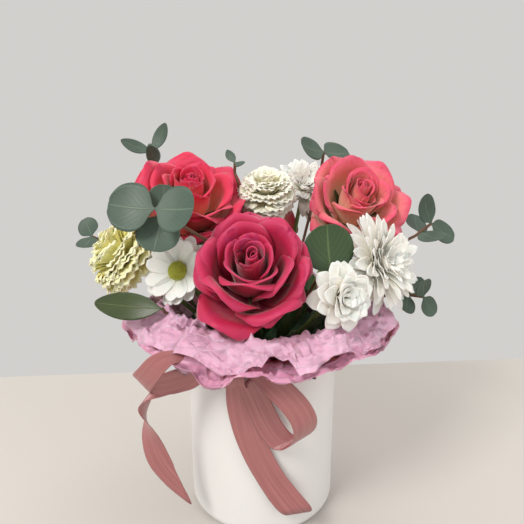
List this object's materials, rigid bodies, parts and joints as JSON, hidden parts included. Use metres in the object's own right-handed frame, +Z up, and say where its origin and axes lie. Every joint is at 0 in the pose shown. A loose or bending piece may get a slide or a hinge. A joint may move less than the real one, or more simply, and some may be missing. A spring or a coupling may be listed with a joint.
{
  "type": "flower box",
  "caption": "Round flower box with flared tissue, a satin bow, a lift-out foam insert, and roses, carnations, daisies and leafy sprigs that pull out.",
  "frame": {"origin": "middle of the box's flat base, on the surface it stands on", "axes": "+Z up along the box's axis; -Y towards the front, where the bow hangs; +X to the right seen from the front"},
  "size_m": [0.3231, 0.2279, 0.3117],
  "materials": {
    "box_card": "smooth satin white coated card",
    "tissue": "thin crinkled pink tissue",
    "satin": "dusty rose satin ribbon",
    "liner_plastic": "thin moulded plastic",
    "floral_foam": "dark green fine-celled foam",
    "stem_green": "smooth green stem",
    "twig_brown": "thin reddish brown twig",
    "petal_magenta": "velvety deep pink petal",
    "petal_coral": "velvety coral petal, pink at its edge",
    "petal_yellow": "ruffled pale yellow petal",
    "petal_white": "soft white petal",
    "disc_green": "fine-grained green and yellow disc",
    "leaf_grey_green": "waxy grey-green leaf",
    "leaf_dark": "leathery dark green leaf"
  },
  "bodies": {
    "box": {"box_shell": "box_card", "tissue_outer_skirt": "tissue", "tissue_outer_collar": "tissue", "tissue_inner_skirt": "tissue", "tissue_inner_collar": "tissue", "ribbon_band": "satin", "ribbon_knot": "satin", "ribbon_loop_left": "satin", "ribbon_loop_right": "satin", "ribbon_tail_left": "satin", "ribbon_tail_right": "satin"},
    "insert": {"liner": "liner_plastic", "foam": "floral_foam"},
    "rose_front": {"rose_front_stem": "stem_green", "rose_front_head": "petal_magenta"},
    "rose_left": {"rose_left_stem": "stem_green", "rose_left_head": "petal_magenta"},
    "rose_right": {"rose_right_stem": "stem_green", "rose_right_head": "petal_coral"},
    "rose_back": {"rose_back_stem": "stem_green", "rose_back_head": "petal_coral"},
    "carnation_yellow": {"carnation_yellow_stem": "stem_green", "carnation_yellow_head": "petal_yellow"},
    "carnation_cream": {"carnation_cream_stem": "stem_green", "carnation_cream_head": "petal_white"},
    "carnation_back": {"carnation_back_stem": "stem_green", "carnation_back_head": "petal_yellow"},
    "mum_top": {"mum_top_stem": "stem_green", "mum_top_head": "petal_white"},
    "mum_right": {"mum_right_stem": "stem_green", "mum_right_head": "petal_white"},
    "mum_low": {"mum_low_stem": "stem_green", "mum_low_head": "petal_white"},
    "mum_small": {"mum_small_stem": "stem_green", "mum_small_head": "petal_white"},
    "daisy_left": {"daisy_left_stem": "stem_green", "daisy_left_petals": "petal_white", "daisy_left_disc": "disc_green"},
    "sprig_broad": {"sprig_broad_twig": "twig_brown", "sprig_broad_leaves": "leaf_grey_green"},
    "sprig_top_left": {"sprig_top_left_twig": "twig_brown", "sprig_top_left_leaves": "leaf_grey_green"},
    "sprig_far_left": {"sprig_far_left_twig": "twig_brown", "sprig_far_left_leaves": "leaf_grey_green"},
    "sprig_top_middle": {"sprig_top_middle_twig": "twig_brown", "sprig_top_middle_leaves": "leaf_grey_green"},
    "sprig_top_right": {"sprig_top_right_twig": "twig_brown", "sprig_top_right_leaves": "leaf_grey_green"},
    "sprig_front_right": {"sprig_front_right_twig": "twig_brown", "sprig_front_right_leaves": "leaf_grey_green"},
    "sprig_right": {"sprig_right_twig": "twig_brown", "sprig_right_leaves": "leaf_grey_green"},
    "sprig_low_right": {"sprig_low_right_twig": "twig_brown", "sprig_low_right_leaves": "leaf_grey_green"},
    "ruscus_left": {"ruscus_left_twig": "twig_brown", "ruscus_left_leaves": "leaf_dark"},
    "ruscus_back": {"ruscus_back_twig": "twig_brown", "ruscus_back_leaves": "leaf_dark"}
  },
  "joints": [
    {"name": "insert_lift", "type": "slide", "parent": "box", "child": "insert", "axis": [0, 0, 1], "range_m": [0, 0.19]},
    {"name": "rose_front_pull", "type": "slide", "parent": "insert", "child": "rose_front", "axis": [-0.0561, -0.354, 0.9336], "range_m": [0, 0.022]},
    {"name": "rose_left_pull", "type": "slide", "parent": "insert", "child": "rose_left", "axis": [-0.4066, 0.2347, 0.8829], "range_m": [0, 0.022]},
    {"name": "rose_right_pull", "type": "slide", "parent": "insert", "child": "rose_right", "axis": [0.4219, 0.2954, 0.8572], "range_m": [0, 0.022]},
    {"name": "rose_back_pull", "type": "slide", "parent": "insert", "child": "rose_back", "axis": [-0.0971, 0.5507, 0.829], "range_m": [0, 0.022]},
    {"name": "carnation_yellow_pull", "type": "slide", "parent": "insert", "child": "carnation_yellow", "axis": [-0.7431, 0, 0.6691], "range_m": [0, 0.022]},
    {"name": "carnation_cream_pull", "type": "slide", "parent": "insert", "child": "carnation_cream", "axis": [0.0217, 0.2068, 0.9781], "range_m": [0, 0.022]},
    {"name": "carnation_back_pull", "type": "slide", "parent": "insert", "child": "carnation_back", "axis": [-0.5321, 0.4465, 0.7193], "range_m": [0, 0.022]},
    {"name": "mum_top_pull", "type": "slide", "parent": "insert", "child": "mum_top", "axis": [0.1972, 0.4429, 0.8746], "range_m": [0, 0.022]},
    {"name": "mum_right_pull", "type": "slide", "parent": "insert", "child": "mum_right", "axis": [0.6417, -0.1364, 0.7547], "range_m": [0, 0.022]},
    {"name": "mum_low_pull", "type": "slide", "parent": "insert", "child": "mum_low", "axis": [0.439, -0.505, 0.7431], "range_m": [0, 0.022]},
    {"name": "mum_small_pull", "type": "slide", "parent": "insert", "child": "mum_small", "axis": [-0.5914, 0.2152, 0.7771], "range_m": [0, 0.022]},
    {"name": "daisy_left_pull", "type": "slide", "parent": "insert", "child": "daisy_left", "axis": [-0.5085, -0.1952, 0.8387], "range_m": [0, 0.022]},
    {"name": "sprig_broad_pull", "type": "slide", "parent": "insert", "child": "sprig_broad", "axis": [-0.2621, -0.2444, 0.9336], "range_m": [0, 0.022]},
    {"name": "sprig_top_left_pull", "type": "slide", "parent": "insert", "child": "sprig_top_left", "axis": [-0.31, 0.31, 0.8988], "range_m": [0, 0.022]},
    {"name": "sprig_far_left_pull", "type": "slide", "parent": "insert", "child": "sprig_far_left", "axis": [-0.7202, 0.127, 0.682], "range_m": [0, 0.022]},
    {"name": "sprig_top_middle_pull", "type": "slide", "parent": "insert", "child": "sprig_top_middle", "axis": [-0.0894, 0.1488, 0.9848], "range_m": [0, 0.022]},
    {"name": "sprig_top_right_pull", "type": "slide", "parent": "insert", "child": "sprig_top_right", "axis": [0.2444, 0.2621, 0.9336], "range_m": [0, 0.022]},
    {"name": "sprig_front_right_pull", "type": "slide", "parent": "insert", "child": "sprig_front_right", "axis": [0.385, -0.2406, 0.891], "range_m": [0, 0.022]},
    {"name": "sprig_right_pull", "type": "slide", "parent": "insert", "child": "sprig_right", "axis": [0.703, 0.2016, 0.682], "range_m": [0, 0.022]},
    {"name": "sprig_low_right_pull", "type": "slide", "parent": "insert", "child": "sprig_low_right", "axis": [0.7413, 0.0518, 0.6691], "range_m": [0, 0.022]},
    {"name": "ruscus_left_pull", "type": "slide", "parent": "insert", "child": "ruscus_left", "axis": [-0.4284, -0.6351, 0.6428], "range_m": [0, 0.022]},
    {"name": "ruscus_back_pull", "type": "slide", "parent": "insert", "child": "ruscus_back", "axis": [-0.4575, 0.5856, 0.6691], "range_m": [0, 0.022]}
  ]
}
